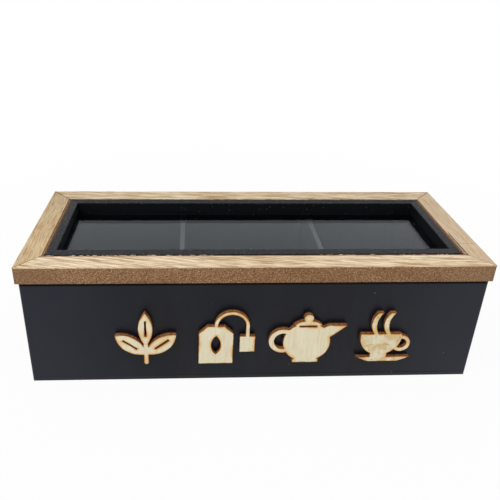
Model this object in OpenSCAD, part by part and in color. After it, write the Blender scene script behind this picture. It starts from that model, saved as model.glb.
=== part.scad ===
/* [Body] */
// Length of the body, left to right
body_l = 237; // [200:1:320]
// Depth of the body, front to back
body_d = 89; // [75:1:140]
// Height of the rim above the table
body_h = 62.5; // [55:0.5:100]
// Thickness of the four walls
wall_t = 3; // [2.5:0.1:6]
// Thickness of the base board
base_t = 3; // [2:0.1:6]
// Radius of the four upright corners
corner_r = 1.2; // [0.4:0.1:2]
// Radius of the sanded outer edge at the rim
rim_r = 0.8; // [0.3:0.1:1.5]
// Radius of the sanded lower edge of the base board
foot_r = 0.8; // [0.3:0.1:1.5]

/* [Dividers] */
// Thickness of the two dividers
divider_t = 3; // [2:0.1:6]
// Drop from the rim to the top of a divider
divider_drop = 2; // [0.5:0.5:20]
// Depth of the grooves that hold the dividers
groove_depth = 1; // [0.5:0.1:1.5]
// Clearance round a divider in its grooves
groove_clear = 0.05; // [0.02:0.01:0.2]
// Radius of the sanded top edges of a divider
divider_r = 0.6; // [0.2:0.1:0.9]

/* [Lid frame] */
// Overhang of the lid at each end
side_overhang = 1.5; // [0:0.1:4]
// Overhang of the lid at the front
front_overhang = 1; // [0:0.1:4]
// Width of the four rails
rail_w = 11.2; // [9:0.1:18]
// Height of the rails without their veneer
rail_h = 9; // [8:0.5:14]
// Radius of the sanded lower edge of the rails
rail_r = 0.5; // [0.2:0.1:1]
// Radius of the upright corners of the lid
lid_corner_r = 0.8; // [0.3:0.1:2]
// Width of the lip under the glass
lip_w = 5; // [3:0.5:6]
// Thickness of the lip under the glass
lip_t = 1.5; // [1:0.1:2.5]
// Thickness of the oak veneer
veneer_t = 0.5; // [0.4:0.1:1]
// Radius of the sanded outer edge of the veneer
veneer_r = 0.3; // [0.1:0.05:0.35]

/* [Glass and beads] */
// Thickness of the glass
glass_t = 2; // [1.5:0.1:3]
// Clearance round the glass, inside the rails
glass_clear = 0.5; // [0.2:0.1:1.5]
// Width of the four beads over the glass
bead_w = 5.2; // [4:0.1:8]
// Radius of the inner top edge of the beads
bead_r = 0.7; // [0.2:0.1:1.5]
// Radius of the outer top edge of the beads
bead_back_r = 0.3; // [0.1:0.1:1]
// Gap between bead and rail at the two ends
bead_end_gap = 1.1; // [0.1:0.1:2]
// Gap between bead and rail at the front and the back
bead_side_gap = 0.9; // [0.1:0.1:2]

/* [Hinges] */
// Length of a hinge along its pin
hinge_l = 25; // [18:1:40]
// Distance from the end of the body to a hinge
hinge_inset = 27; // [5:1:50]
// Thickness of the hinge leaves
leaf_t = 0.7; // [0.5:0.1:1]
// Distance from the lid leaf to the veneer
leaf_edge = 0.8; // [0.3:0.1:2]
// Radius of the outer corners of the leaves
leaf_r = 1.5; // [0.5:0.1:2.5]
// Number of knuckles in a hinge
knuckle_count = 5; // [3:2:7]
// Gap along the pin between two knuckles
knuckle_gap = 0.2; // [0.1:0.05:0.5]
// Gap between the knuckles and the wood behind them
knuckle_set = 0.3; // [0.2:0.05:0.6]
// Clearance of a leaf round the knuckles of the other one
notch_clear = 0.3; // [0.2:0.05:0.6]
// Diameter of the hinge pin
pin_d = 1.6; // [1.2:0.1:2.4]
// Radial clearance of the pin in the knuckles
pin_clear = 0.05; // [0.03:0.01:0.09]
// Overhang of the two heads of the pin
pin_lip = 0.45; // [0.3:0.05:0.6]
// Thickness of the two heads of the pin
pin_head_t = 0.6; // [0.4:0.1:1]

/* [Hinge screws] */
// Distance from the end of a leaf to the middle of its screw
screw_inset = 5; // [3:0.5:6]
// Diameter of the screw shank
screw_d = 1.4; // [1:0.1:2]
// Diameter of the countersunk head
screw_head_d = 3; // [2.6:0.1:3.6]
// Clearance of the screw in the leaf
screw_clear = 0.05; // [0.03:0.01:0.2]
// Length of a screw in the back wall, under the head
wall_screw_l = 2.2; // [1.5:0.1:2.4]
// Length of a screw in the lid, under the head
lid_screw_l = 6; // [3:0.5:8]
// Length of the tapered tip of a screw
screw_tip_l = 0.8; // [0.4:0.1:1]

/* [Front cut-outs] */
// Thickness of the plywood of the four cut-outs
ply_t = 3; // [2:0.5:5]
// Height of the foot of the cut-outs above the table
ply_z = 13.4; // [6:0.2:18]
// Distance from one cut-out to the next
cutout_pitch = 42; // [40:0.5:44]
// Middle of the row of cut-outs, right of the middle
row_x = 5.8; // [0:0.2:8]
// Width of the slots cut through the leaves
vein_w = 0.9; // [0.5:0.1:1.4]

/* [Tea shoot cut-out] */
// Width of the stem
stem_w = 2.6; // [2:0.1:4]
// Height of the stem under the bud
stem_h = 12; // [8:0.5:14]
// Length of the bud
bud_l = 21; // [16:0.5:24]
// Width of the bud
bud_w = 7.4; // [5:0.2:9]
// Length of the two side leaves
leaf_blade_l = 20; // [14:0.5:22]
// Width of the two side leaves
leaf_blade_w = 9; // [6:0.2:11]
// Height on the stem where the side leaves start
leaf_blade_z = 6.5; // [5:0.5:8]
// Lean of the side leaves from upright, degrees
leaf_lean = 52; // [46:1:65]

/* [Tea bag cut-out] */
// Width of the pouch
pouch_w = 18; // [14:0.5:19]
// Height of the pouch
pouch_h = 24; // [18:0.5:26]
// Size of the folded top corners of the pouch
pouch_fold = 4.6; // [3:0.2:6]
// Length of the leaf cut through the pouch
pouch_leaf_l = 12; // [8:0.5:14]
// Width of the leaf cut through the pouch
pouch_leaf_w = 5; // [3:0.2:7]
// Width of the string
string_w = 1.9; // [1.4:0.1:2.4]
// Width of the tag
tag_w = 8; // [6:0.5:9]
// Height of the tag
tag_h = 10; // [7:0.5:12]
// Gap between the pouch and the tag
tag_gap = 3.4; // [2.4:0.2:5]
// Drop from the top of the pouch to the tag
tag_drop = 6.5; // [3:0.5:10]

/* [Teapot cut-out] */
// Radius of the round belly
belly_r = 12.5; // [11.6:0.1:13.5]
// Height of the middle of the belly
belly_z = 13.2; // [12:0.2:14]
// Height of the mouth, where the pot's lid sits
mouth_z = 24; // [22:0.2:24.4]
// Width of the foot
pot_foot_w = 14; // [8:0.5:18]
// Height of the foot
pot_foot_h = 2.4; // [1.8:0.1:3]
// Overhang of the pot's lid past the mouth
pot_lid_lip = 1.2; // [0.5:0.1:2]
// Rise of the pot's lid
pot_lid_h = 3.2; // [2:0.1:4]
// Radius of the knob
knob_r = 2.6; // [2:0.1:3.2]
// Width of the slot under the pot's lid
mouth_slot = 0.9; // [0.5:0.1:1.2]
// Width of the wood left beside that slot
mouth_bridge = 1.8; // [1.2:0.1:2.5]
// Length of the spout from the middle of the belly
spout_l = 23; // [21:0.5:25]
// Width of the spout at its root
spout_root_w = 11; // [8:0.5:14]
// Width of the spout at its mouth
spout_tip_w = 3.8; // [3:0.2:5]
// Lean of the spout from upright, degrees
spout_lean = 58; // [50:1:66]
// Outer radius of the pot's handle
pot_handle_r = 7.6; // [6.5:0.1:8.5]
// Width of the pot handle's band
pot_handle_w = 2.7; // [2:0.1:3.2]
// Height of the pot's handle above the middle of the belly
pot_handle_rise = 1; // [0:0.1:2]

/* [Teacup cut-out] */
// Width of the saucer
saucer_w = 29; // [24:0.5:31]
// Height of the saucer
saucer_h = 2.8; // [2:0.1:4]
// Width of the flat under the saucer
saucer_foot_w = 16; // [10:0.5:20]
// Width of the cup's foot
cup_foot_w = 9; // [6:0.5:12]
// Height of the cup's foot
cup_foot_h = 1.8; // [1:0.1:3]
// Radius of the bowl
bowl_r = 11; // [9:0.1:12]
// Height of the bowl
bowl_h = 13.5; // [11:0.1:14]
// Outer radius of the cup's handle
cup_handle_r = 5.2; // [4:0.1:6]
// Width of the cup handle's band
cup_handle_w = 2.2; // [1.6:0.1:2.6]
// Drop from the rim of the cup to its handle
cup_handle_drop = 1; // [0.4:0.1:2]
// Height of the steam above the bowl
steam_h = 14.5; // [10:0.5:16]
// Width of a curl of steam
steam_w = 2.7; // [2:0.1:3.4]
// Distance between the two curls of steam
steam_pitch = 6.5; // [4.5:0.1:8]

/* [Hidden] */
$fn = 64;

// cuts run this far past the faces they cut
over = 1;
// steam curls run this far into the bowl
root = 1;

black = [0.17, 0.175, 0.19];
mdf = [0.55, 0.42, 0.31];
oak = [0.72, 0.58, 0.42];
birch = [0.87, 0.83, 0.71];
brass = [0.72, 0.58, 0.32];
clear = [0.75, 0.82, 0.85, 0.4];

// body: the walls stand on the base board, the ends fit between front and back
wall_h = body_h - base_t;
inner_l = body_l - 2 * wall_t;
inner_d = body_d - 2 * wall_t;
bay_l = (inner_l - 2 * divider_t) / 3;
divider_x = (bay_l + divider_t) / 2;
divider_h = wall_h - divider_drop;
divider_d = inner_d + 2 * (groove_depth - groove_clear);
front_y = -body_d / 2;
back_y = body_d / 2;

// lid: flush with the body at the back, so that the hinges lie flat
lid_l = body_l + 2 * side_overhang;
lid_d = body_d + front_overhang;
lid_y = -front_overhang / 2;
veneer_z = body_h + rail_h;
glass_z = body_h + lip_t;
glass_l = lid_l - 2 * (rail_w + glass_clear);
glass_d = lid_d - 2 * (rail_w + glass_clear);
bead_z = glass_z + glass_t;
bead_h = veneer_z + veneer_t - bead_z;
bead_l = lid_l - 2 * (rail_w + bead_end_gap);
bead_d = lid_d - 2 * (rail_w + bead_side_gap);

// hinges: the pin runs level with the rim, just behind the back wall
knuckle_r = pin_d / 2 + pin_clear + leaf_t;
axis_gap = knuckle_set + knuckle_r;
axis_y = back_y + axis_gap;
leaf_reach = rail_h - leaf_edge;
notch_h = knuckle_r + notch_clear;
knuckle_l = (hinge_l - (knuckle_count - 1) * knuckle_gap) / knuckle_count;
hinge_x = body_l / 2 - hinge_inset - hinge_l / 2;
pin_head_d = pin_d + 2 * pin_lip;
screw_x = hinge_l / 2 - screw_inset;
screw_h = (notch_h + leaf_reach) / 2;

// radius of an arc with this chord and rise
function arc_r(chord, rise) = (chord * chord / 4 + rise * rise) / (2 * rise);

// left end of knuckle i, measured from the middle of the hinge
function knuckle_x(i) = i * (knuckle_l + knuckle_gap) - hinge_l / 2;

// flat outlines

module round_top(wide, high, r) {
  translate([-wide / 2, 0]) square([wide, high - r]);
  translate([r - wide / 2, 0]) square([wide - 2 * r, high]);
  for (side = [-1, 1]) translate([side * (wide / 2 - r), high - r]) circle(r);
}

module eased_rect(wide, high, low_r, top_r) {
  intersection() {
    round_top(wide, high, top_r);
    translate([0, high]) mirror([0, 1]) round_top(wide, high, low_r);
  }
}

module plan(long, deep, r) {
  translate([0, -deep / 2]) eased_rect(long, deep, r, r);
}

module blade(long, wide) {
  side_r = arc_r(long, wide / 2);
  shift = side_r - wide / 2;
  translate([0, long / 2]) intersection() {
    translate([shift, 0]) circle(side_r);
    translate([-shift, 0]) circle(side_r);
  }
}

module veined_blade(long, wide) {
  difference() {
    blade(long, wide);
    translate([-vein_w / 2, long * 0.3]) square([vein_w, long * 0.45]);
  }
}

module band(r, width) {
  difference() {
    circle(r);
    circle(r - width);
  }
}

module above(z, reach) {
  translate([-reach, z]) square([2 * reach, 2 * reach]);
}

// body

module body_form() {
  intersection() {
    linear_extrude(body_h) plan(body_l, body_d, corner_r);
    translate([0, body_d, 0]) rotate([90, 0, 0])
      linear_extrude(2 * body_d) eased_rect(body_l, body_h, foot_r, rim_r);
    translate([-body_l, 0, 0]) rotate([90, 0, 90])
      linear_extrude(2 * body_l) eased_rect(body_d, body_h, foot_r, rim_r);
  }
}

module divider_grooves() {
  for (side = [-1, 1])
    translate([side * divider_x - divider_t / 2 - groove_clear, -inner_d / 2 - groove_depth, base_t])
      cube([divider_t + 2 * groove_clear, inner_d + 2 * groove_depth, wall_h + over]);
}

module base_board() {
  color(black) intersection() {
    body_form();
    translate([-body_l / 2, front_y, 0]) cube([body_l, body_d, base_t]);
  }
}

module front_wall() {
  color(black) difference() {
    intersection() {
      body_form();
      translate([-body_l / 2, front_y, base_t]) cube([body_l, wall_t, wall_h]);
    }
    divider_grooves();
  }
}

module back_wall() {
  color(black) difference() {
    intersection() {
      body_form();
      translate([-body_l / 2, back_y - wall_t, base_t]) cube([body_l, wall_t, wall_h]);
    }
    divider_grooves();
    wall_screws();
  }
}

module end_wall(side) {
  color(black) intersection() {
    body_form();
    translate([side * (body_l - wall_t) / 2 - wall_t / 2, -inner_d / 2, base_t])
      cube([wall_t, inner_d, wall_h]);
  }
}

module left_wall() {
  end_wall(-1);
}

module right_wall() {
  end_wall(1);
}

module divider(side) {
  color(black) translate([side * divider_x, divider_d / 2, base_t]) rotate([90, 0, 0])
    linear_extrude(divider_d) round_top(divider_t, divider_h, divider_r);
}

module left_divider() {
  divider(-1);
}

module right_divider() {
  divider(1);
}

// front cut-outs, drawn standing on their foot, numbered from the left

module cutout(place) {
  color(birch) translate([row_x + (place - 1.5) * cutout_pitch, front_y, ply_z])
    rotate([90, 0, 0]) linear_extrude(ply_t) children();
}

module tea_shoot_cutout() {
  cutout(0) {
    translate([0, stem_w / 2]) circle(stem_w / 2);
    translate([-stem_w / 2, stem_w / 2]) square([stem_w, stem_h]);
    translate([0, stem_h]) veined_blade(bud_l, bud_w);
    for (side = [-1, 1])
      translate([0, leaf_blade_z]) rotate(-side * leaf_lean) veined_blade(leaf_blade_l, leaf_blade_w);
  }
}

module tea_bag_cutout() {
  pouch_x = -(tag_gap + tag_w) / 2;
  tag_x = (pouch_w + tag_gap) / 2;
  loop_r = (tag_x - pouch_x + string_w) / 2;
  cutout(1) {
    difference() {
      translate([pouch_x, 0]) polygon([
        [-pouch_w / 2, 0],
        [pouch_w / 2, 0],
        [pouch_w / 2, pouch_h - pouch_fold],
        [pouch_w / 2 - pouch_fold, pouch_h],
        [pouch_fold - pouch_w / 2, pouch_h],
        [-pouch_w / 2, pouch_h - pouch_fold]
      ]);
      translate([pouch_x, (pouch_h - pouch_leaf_l) / 2]) blade(pouch_leaf_l, pouch_leaf_w);
    }
    intersection() {
      translate([(pouch_x + tag_x) / 2, pouch_h]) band(loop_r, string_w);
      above(pouch_h, 2 * pouch_w);
    }
    translate([tag_x - string_w / 2, pouch_h - tag_drop]) square([string_w, tag_drop]);
    translate([tag_x - tag_w / 2, pouch_h - tag_drop - tag_h]) square([tag_w, tag_h]);
  }
}

module teapot_cutout() {
  mouth_w = 2 * sqrt(belly_r * belly_r - (mouth_z - belly_z) * (mouth_z - belly_z));
  dome_r = arc_r(mouth_w + 2 * pot_lid_lip, pot_lid_h);
  slot_l = mouth_w - 2 * mouth_bridge;
  cutout(2) difference() {
    union() {
      difference() {
        translate([0, belly_z]) circle(belly_r);
        above(mouth_z, 2 * belly_r);
      }
      translate([-pot_foot_w / 2, 0]) square([pot_foot_w, pot_foot_h]);
      intersection() {
        translate([0, mouth_z + pot_lid_h - dome_r]) circle(dome_r);
        above(mouth_z, 2 * belly_r);
      }
      translate([0, mouth_z + pot_lid_h + knob_r / 2]) circle(knob_r);
      difference() {
        translate([0, belly_z]) rotate(-spout_lean) polygon([
          [-spout_root_w / 2, 0],
          [spout_root_w / 2, 0],
          [spout_tip_w / 2, spout_l],
          [-spout_tip_w / 2, spout_l]
        ]);
        above(mouth_z, 2 * spout_l);
      }
      translate([-belly_r, belly_z + pot_handle_rise]) band(pot_handle_r, pot_handle_w);
    }
    translate([-slot_l / 2, mouth_z - mouth_slot]) square([slot_l, mouth_slot]);
  }
}

module teacup_cutout() {
  bowl_x = -cup_handle_r / 2;
  bowl_z = saucer_h + cup_foot_h;
  rim_z = bowl_z + bowl_h;
  curl_r = arc_r(steam_h, steam_w);
  cutout(3) {
    polygon([
      [-saucer_foot_w / 2, 0],
      [saucer_foot_w / 2, 0],
      [saucer_w / 2, saucer_h],
      [-saucer_w / 2, saucer_h]
    ]);
    translate([bowl_x - cup_foot_w / 2, 0]) square([cup_foot_w, bowl_z + bowl_h / 2]);
    intersection() {
      translate([bowl_x, bowl_z + bowl_r]) circle(bowl_r);
      translate([bowl_x - bowl_r, bowl_z]) square([2 * bowl_r, bowl_h]);
    }
    if (bowl_h > bowl_r)
      translate([bowl_x - bowl_r, bowl_z + bowl_r]) square([2 * bowl_r, bowl_h - bowl_r]);
    translate([bowl_x + bowl_r, rim_z - cup_handle_r - cup_handle_drop]) band(cup_handle_r, cup_handle_w);
    for (side = [-1, 1])
      translate([bowl_x + side * steam_pitch / 2, rim_z - root]) intersection() {
        difference() {
          translate([curl_r - steam_w, steam_h / 2]) circle(curl_r);
          translate([curl_r, steam_h / 2]) circle(curl_r);
        }
        translate([-2 * steam_w, 0]) square([4 * steam_w, steam_h]);
      }
  }
}

// hinges, drawn about the middle of the pin with the leaf standing up

module hinge_leaf(first) {
  bore_r = pin_d / 2 + pin_clear;
  color(brass) difference() {
    union() {
      translate([0, leaf_t - axis_gap, notch_h]) rotate([90, 0, 0])
        linear_extrude(leaf_t) round_top(hinge_l, leaf_reach - notch_h, leaf_r);
      for (i = [first:2:knuckle_count - 1]) translate([knuckle_x(i), 0, 0]) {
        rotate([0, 90, 0]) cylinder(h = knuckle_l, r = knuckle_r);
        translate([0, -axis_gap, 0]) cube([knuckle_l, leaf_t, notch_h]);
      }
    }
    translate([-hinge_l, 0, 0]) rotate([0, 90, 0]) cylinder(h = 2 * hinge_l, r = bore_r);
    for (side = [-1, 1]) translate([side * screw_x, leaf_t - axis_gap, screw_h])
      rotate([90, 0, 0]) {
        cylinder(h = leaf_t, r1 = screw_head_d / 2 + screw_clear, r2 = screw_d / 2 + screw_clear);
        cylinder(h = leaf_t + over, r = screw_d / 2 + screw_clear);
      }
  }
}

module at_hinge(side, up) {
  translate([side * hinge_x, axis_y, body_h]) mirror([0, 0, 1 - up]) children();
}

module left_hinge_wall_leaf() {
  at_hinge(-1, 0) hinge_leaf(0);
}

module right_hinge_wall_leaf() {
  at_hinge(1, 0) hinge_leaf(0);
}

module left_hinge_lid_leaf() {
  at_hinge(-1, 1) hinge_leaf(1);
}

module right_hinge_lid_leaf() {
  at_hinge(1, 1) hinge_leaf(1);
}

module hinge_pin() {
  color(brass) rotate([0, 90, 0]) {
    translate([0, 0, -hinge_l / 2]) cylinder(h = hinge_l, d = pin_d);
    for (side = [0, 1]) mirror([0, 0, side]) translate([0, 0, hinge_l / 2])
      cylinder(h = pin_head_t, d1 = pin_head_d, d2 = pin_d);
  }
}

module left_hinge_pin() {
  at_hinge(-1, 1) hinge_pin();
}

module right_hinge_pin() {
  at_hinge(1, 1) hinge_pin();
}

module screw(long) {
  color(brass) rotate([90, 0, 0]) {
    cylinder(h = leaf_t, d1 = screw_head_d, d2 = screw_d);
    cylinder(h = leaf_t + long - screw_tip_l, d = screw_d);
    translate([0, 0, leaf_t + long - screw_tip_l]) cylinder(h = screw_tip_l, d1 = screw_d, d2 = screw_d / 3);
  }
}

module screw_pairs(up, long) {
  for (hinge = [-1, 1])
    for (side = [-1, 1])
      at_hinge(hinge, up) translate([side * screw_x, leaf_t - axis_gap, screw_h]) screw(long);
}

module wall_screws() {
  screw_pairs(0, wall_screw_l);
}

module lid_screws() {
  screw_pairs(1, lid_screw_l);
}

// lid: every bar of a frame is drawn along X with its outer face at y = 0, then turned to its side

module mitred_bar(long, wide, corner) {
  intersection() {
    translate([-long / 2, 0, 0]) rotate([90, 0, 90]) linear_extrude(long) children();
    linear_extrude(body_h) polygon([
      [-long / 2, 0],
      [long / 2, 0],
      [long / 2 - wide, wide],
      [wide - long / 2, wide]
    ]);
    if (corner > 0)
      linear_extrude(body_h) translate([0, long / 2]) plan(long, long, corner);
  }
}

module on_side(side, long, deep, z) {
  reach = side % 2 == 0 ? deep / 2 : long / 2;
  translate([0, lid_y, z]) rotate(side * 90) translate([0, -reach, 0]) children();
}

module rail(side) {
  long = side % 2 == 0 ? lid_l : lid_d;
  color(mdf) on_side(side, lid_l, lid_d, body_h)
    mitred_bar(long, rail_w + lip_w, lid_corner_r) rail_section();
}

module rail_section() {
  translate([rail_r, 0]) square([rail_w - rail_r, rail_h]);
  translate([0, rail_r]) square([rail_w, rail_h - rail_r]);
  translate([rail_r, rail_r]) circle(rail_r);
  translate([rail_r, 0]) square([rail_w + lip_w - rail_r, lip_t]);
}

module veneer(side) {
  long = side % 2 == 0 ? lid_l : lid_d;
  color(oak) on_side(side, lid_l, lid_d, veneer_z)
    mitred_bar(long, rail_w, lid_corner_r) {
      square([rail_w, veneer_t - veneer_r]);
      translate([veneer_r, 0]) square([rail_w - veneer_r, veneer_t]);
      translate([veneer_r, veneer_t - veneer_r]) circle(veneer_r);
    }
}

module bead(side) {
  long = side % 2 == 0 ? bead_l : bead_d;
  color(black) on_side(side, bead_l, bead_d, bead_z)
    mitred_bar(long, bead_w, 0) {
      square([bead_w, bead_h - bead_r]);
      translate([bead_back_r, 0]) square([bead_w - bead_back_r - bead_r, bead_h]);
      square([bead_w / 2, bead_h - bead_back_r]);
      translate([bead_back_r, bead_h - bead_back_r]) circle(bead_back_r);
      translate([bead_w - bead_r, bead_h - bead_r]) circle(bead_r);
    }
}

module front_rail() {
  rail(0);
}

module right_rail() {
  rail(1);
}

module back_rail() {
  difference() {
    rail(2);
    lid_screws();
  }
}

module left_rail() {
  rail(3);
}

module front_veneer() {
  veneer(0);
}

module right_veneer() {
  veneer(1);
}

module back_veneer() {
  veneer(2);
}

module left_veneer() {
  veneer(3);
}

module front_bead() {
  bead(0);
}

module right_bead() {
  bead(1);
}

module back_bead() {
  bead(2);
}

module left_bead() {
  bead(3);
}

module glass_pane() {
  color(clear) translate([-glass_l / 2, lid_y - glass_d / 2, glass_z]) cube([glass_l, glass_d, glass_t]);
}

base_board();
front_wall();
back_wall();
left_wall();
right_wall();
left_divider();
right_divider();
tea_shoot_cutout();
tea_bag_cutout();
teapot_cutout();
teacup_cutout();
left_hinge_wall_leaf();
right_hinge_wall_leaf();
left_hinge_pin();
right_hinge_pin();
wall_screws();
front_rail();
back_rail();
left_rail();
right_rail();
front_veneer();
back_veneer();
left_veneer();
right_veneer();
front_bead();
back_bead();
left_bead();
right_bead();
glass_pane();
left_hinge_lid_leaf();
right_hinge_lid_leaf();
lid_screws();
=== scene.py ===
from math import cos, pi, radians, sin

import bmesh
import bpy
import numpy as np
from mathutils import Matrix, Vector, noise
from mathutils.geometry import delaunay_2d_cdt


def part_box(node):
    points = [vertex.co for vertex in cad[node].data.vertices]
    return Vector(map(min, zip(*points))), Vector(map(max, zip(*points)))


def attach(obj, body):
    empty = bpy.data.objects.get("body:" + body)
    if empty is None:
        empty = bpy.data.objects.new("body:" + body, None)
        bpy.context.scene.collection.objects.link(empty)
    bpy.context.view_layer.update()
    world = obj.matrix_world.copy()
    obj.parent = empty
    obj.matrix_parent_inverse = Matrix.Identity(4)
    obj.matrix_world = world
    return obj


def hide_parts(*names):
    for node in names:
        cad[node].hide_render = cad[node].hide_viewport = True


mm = 0.001
sides = ("front", "right", "back", "left")  # each a quarter turn after the last
cutouts = ("tea_shoot_cutout", "tea_bag_cutout", "teapot_cutout", "teacup_cutout")

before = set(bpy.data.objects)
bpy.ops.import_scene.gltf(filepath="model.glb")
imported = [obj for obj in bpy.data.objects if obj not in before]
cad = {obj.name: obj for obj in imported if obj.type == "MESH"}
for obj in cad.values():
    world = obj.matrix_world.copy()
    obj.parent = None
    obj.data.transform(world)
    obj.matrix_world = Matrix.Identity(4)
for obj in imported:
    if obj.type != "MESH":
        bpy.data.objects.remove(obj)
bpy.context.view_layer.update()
boxHalf = (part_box("front_wall")[1].x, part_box("back_wall")[1].y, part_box("front_wall")[1].z / 2)
lidLow = Vector((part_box("left_veneer")[0].x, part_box("front_veneer")[0].y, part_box("front_rail")[0].z))
lidHigh = Vector((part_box("right_veneer")[1].x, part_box("back_veneer")[1].y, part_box("front_veneer")[1].z))
print("frame loaded:", len(cad), "pieces")


# node helpers, shared by the materials and the geometry trees

def addNode(tree, kind, inputs=None, **settings):
    made = tree.nodes.new(kind)
    for name, value in settings.items():
        setattr(made, name, value)
    for name, value in (inputs or {}).items():
        if isinstance(value, bpy.types.NodeSocket):
            tree.links.new(value, made.inputs[name])
        else:
            made.inputs[name].default_value = value
    return made


def output(tree, kind, inputs=None, **settings):
    return addNode(tree, kind, inputs, **settings).outputs[0]


def fedNode(kind, inputs, **settings):  # in the tree of the sockets that feed it
    trees = [value.id_data for value in inputs.values() if isinstance(value, bpy.types.NodeSocket)]
    return addNode(trees[0], kind, inputs, **settings)


def fed(kind, inputs, **settings):
    return fedNode(kind, inputs, **settings).outputs[0]


def maths(operation):
    def result(first, second=0.0):
        return fed("ShaderNodeMath", {0: first, 1: second}, operation=operation)
    return result


plus, minus, times, over = maths("ADD"), maths("SUBTRACT"), maths("MULTIPLY"), maths("DIVIDE")
most, least, absolute = maths("MAXIMUM"), maths("MINIMUM"), maths("ABSOLUTE")
isOver, isUnder = maths("GREATER_THAN"), maths("LESS_THAN")


def away(value, mark):
    return absolute(minus(value, mark))


def apart(vector):
    return fedNode("ShaderNodeSeparateXYZ", {"Vector": vector}).outputs


def together(x=0.0, y=0.0, z=0.0):
    return fed("ShaderNodeCombineXYZ", {"X": x, "Y": y, "Z": z})


def ease(value, low, high, atLow=0.0, atHigh=1.0):  # smooth step, either way round
    inputs = {"Value": value, "From Min": low, "From Max": high, "To Min": atLow, "To Max": atHigh}
    return fed("ShaderNodeMapRange", inputs, interpolation_type="SMOOTHSTEP")


def stretch(place, scale=(1, 1, 1), turn=0.0, shift=(0, 0, 0)):
    inputs = {"Vector": place, "Scale": scale, "Rotation": (0, 0, turn), "Location": shift}
    return fed("ShaderNodeMapping", inputs)


def cloud(place, scale, detail=2.0, rough=0.5, bend=0.0):
    inputs = {"Vector": place, "Scale": scale, "Detail": detail, "Roughness": rough, "Distortion": bend}
    return fed("ShaderNodeTexNoise", inputs)


def mixShaders(tree, share, first, second, end="Material Output"):
    mixed = fed("ShaderNodeMixShader", {0: share, 1: first, 2: second})
    tree.links.new(mixed, tree.nodes[end].inputs["Surface"])


def tone(red, green, blue):  # screen colour, 0 to 255, as the linear one that nodes want
    def linear(value):
        value /= 255
        return value / 12.92 if value <= 0.04045 else ((value + 0.055) / 1.055) ** 2.4
    return (linear(red), linear(green), linear(blue), 1)


def mixTone(factor, first, second, mode="MIX"):
    inputs = {0: factor, 6: first, 7: second}
    return fedNode("ShaderNodeMix", inputs, data_type="RGBA", blend_type=mode).outputs[2]


def blend(factor, first, second):  # of two screen colours
    return mixTone(factor, tone(*first), tone(*second))


def cover(colour, amount, onto, mode="MIX"):  # lays a screen colour over what is there
    return mixTone(amount, colour, tone(*onto), mode)


def toneRamp(value, stops):
    made = fedNode("ShaderNodeValToRGB", {"Fac": value})
    marks = made.color_ramp.elements
    for mark, (position, colour) in ((marks[0], stops[0]), (marks[1], stops[-1])):
        mark.position, mark.color = position, tone(*colour)
    for position, colour in stops[1:-1]:
        marks.new(position).color = tone(*colour)
    return made.outputs[0]


def pieceValue(tree, name):  # a value kept on the mesh, in millimetres
    return addNode(tree, "ShaderNodeAttribute", attribute_name=name).outputs["Fac"]


def specks(place, scale, radius, share):  # sparse round dots, sized as a share of their cell
    cells = fedNode("ShaderNodeTexVoronoi", {"Vector": place, "Scale": scale}).outputs
    picked = fed("ShaderNodeSeparateColor", {"Color": cells["Color"]})
    dot = ease(cells["Distance"], radius, radius * 0.5)
    return times(dot, isOver(picked, 1 - share))


def startMaterial(name, rough, shine=0.5):
    material = bpy.data.materials.new(name)
    material.use_nodes = True
    shader = material.node_tree.nodes["Principled BSDF"]
    shader.inputs["Roughness"].default_value = rough
    shader.inputs["Specular IOR Level"].default_value = shine
    place = addNode(material.node_tree, "ShaderNodeTexCoord").outputs["Object"]
    return material, material.node_tree, shader, place


def endMaterial(tree, shader, colour, rough=None, height=None, depth=0.0, strength=1.0):
    tree.links.new(colour, shader.inputs["Base Color"])
    if rough is not None:
        tree.links.new(rough, shader.inputs["Roughness"])
    if height is not None:
        bump = fed("ShaderNodeBump", {"Height": height, "Distance": depth, "Strength": strength})
        tree.links.new(bump, shader.inputs["Normal"])


def faceGaps(place, centre, half):  # distance inwards from each pair of faces of a box
    return [minus(reach, away(part, middle)) for part, middle, reach in zip(apart(place), centre, half)]


def nearEdge(gaps):  # the middle one of three gaps is small only along an edge
    a, b, c = gaps
    return most(least(a, b), least(most(a, b), c))


# materials: colours are screen colours, "...Scale" is how many bumps of a pattern go in a metre

# inside and rim hold colours of painted shade and painted shadow; worn and ledge hold wear lightened by a
# painted highlight
blackLook = {
    "cool": (15, 18, 27), "warm": (18, 18, 25), "pale": (37, 39, 50), "worn": (58, 55, 54),
    "inside": (5, 5, 7), "ledge": (66, 64, 66), "rim": (3, 3, 4), "joint": (4, 4, 5), "dust": (130, 132, 136),
    "rough": 0.36, "shine": 0.2, "dulled": 0.5,
    "seam": 3 * mm, "rimShadeLine": 1.5 * mm, "wornLitFront": 21 * mm,
    "patchScale": 19, "smearScale": 75, "wearScale": 420, "jointScale": 14, "rubScale": 55,
    "dustScale": (95, 260), "rollerScale": (1300, 240),
}


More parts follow.
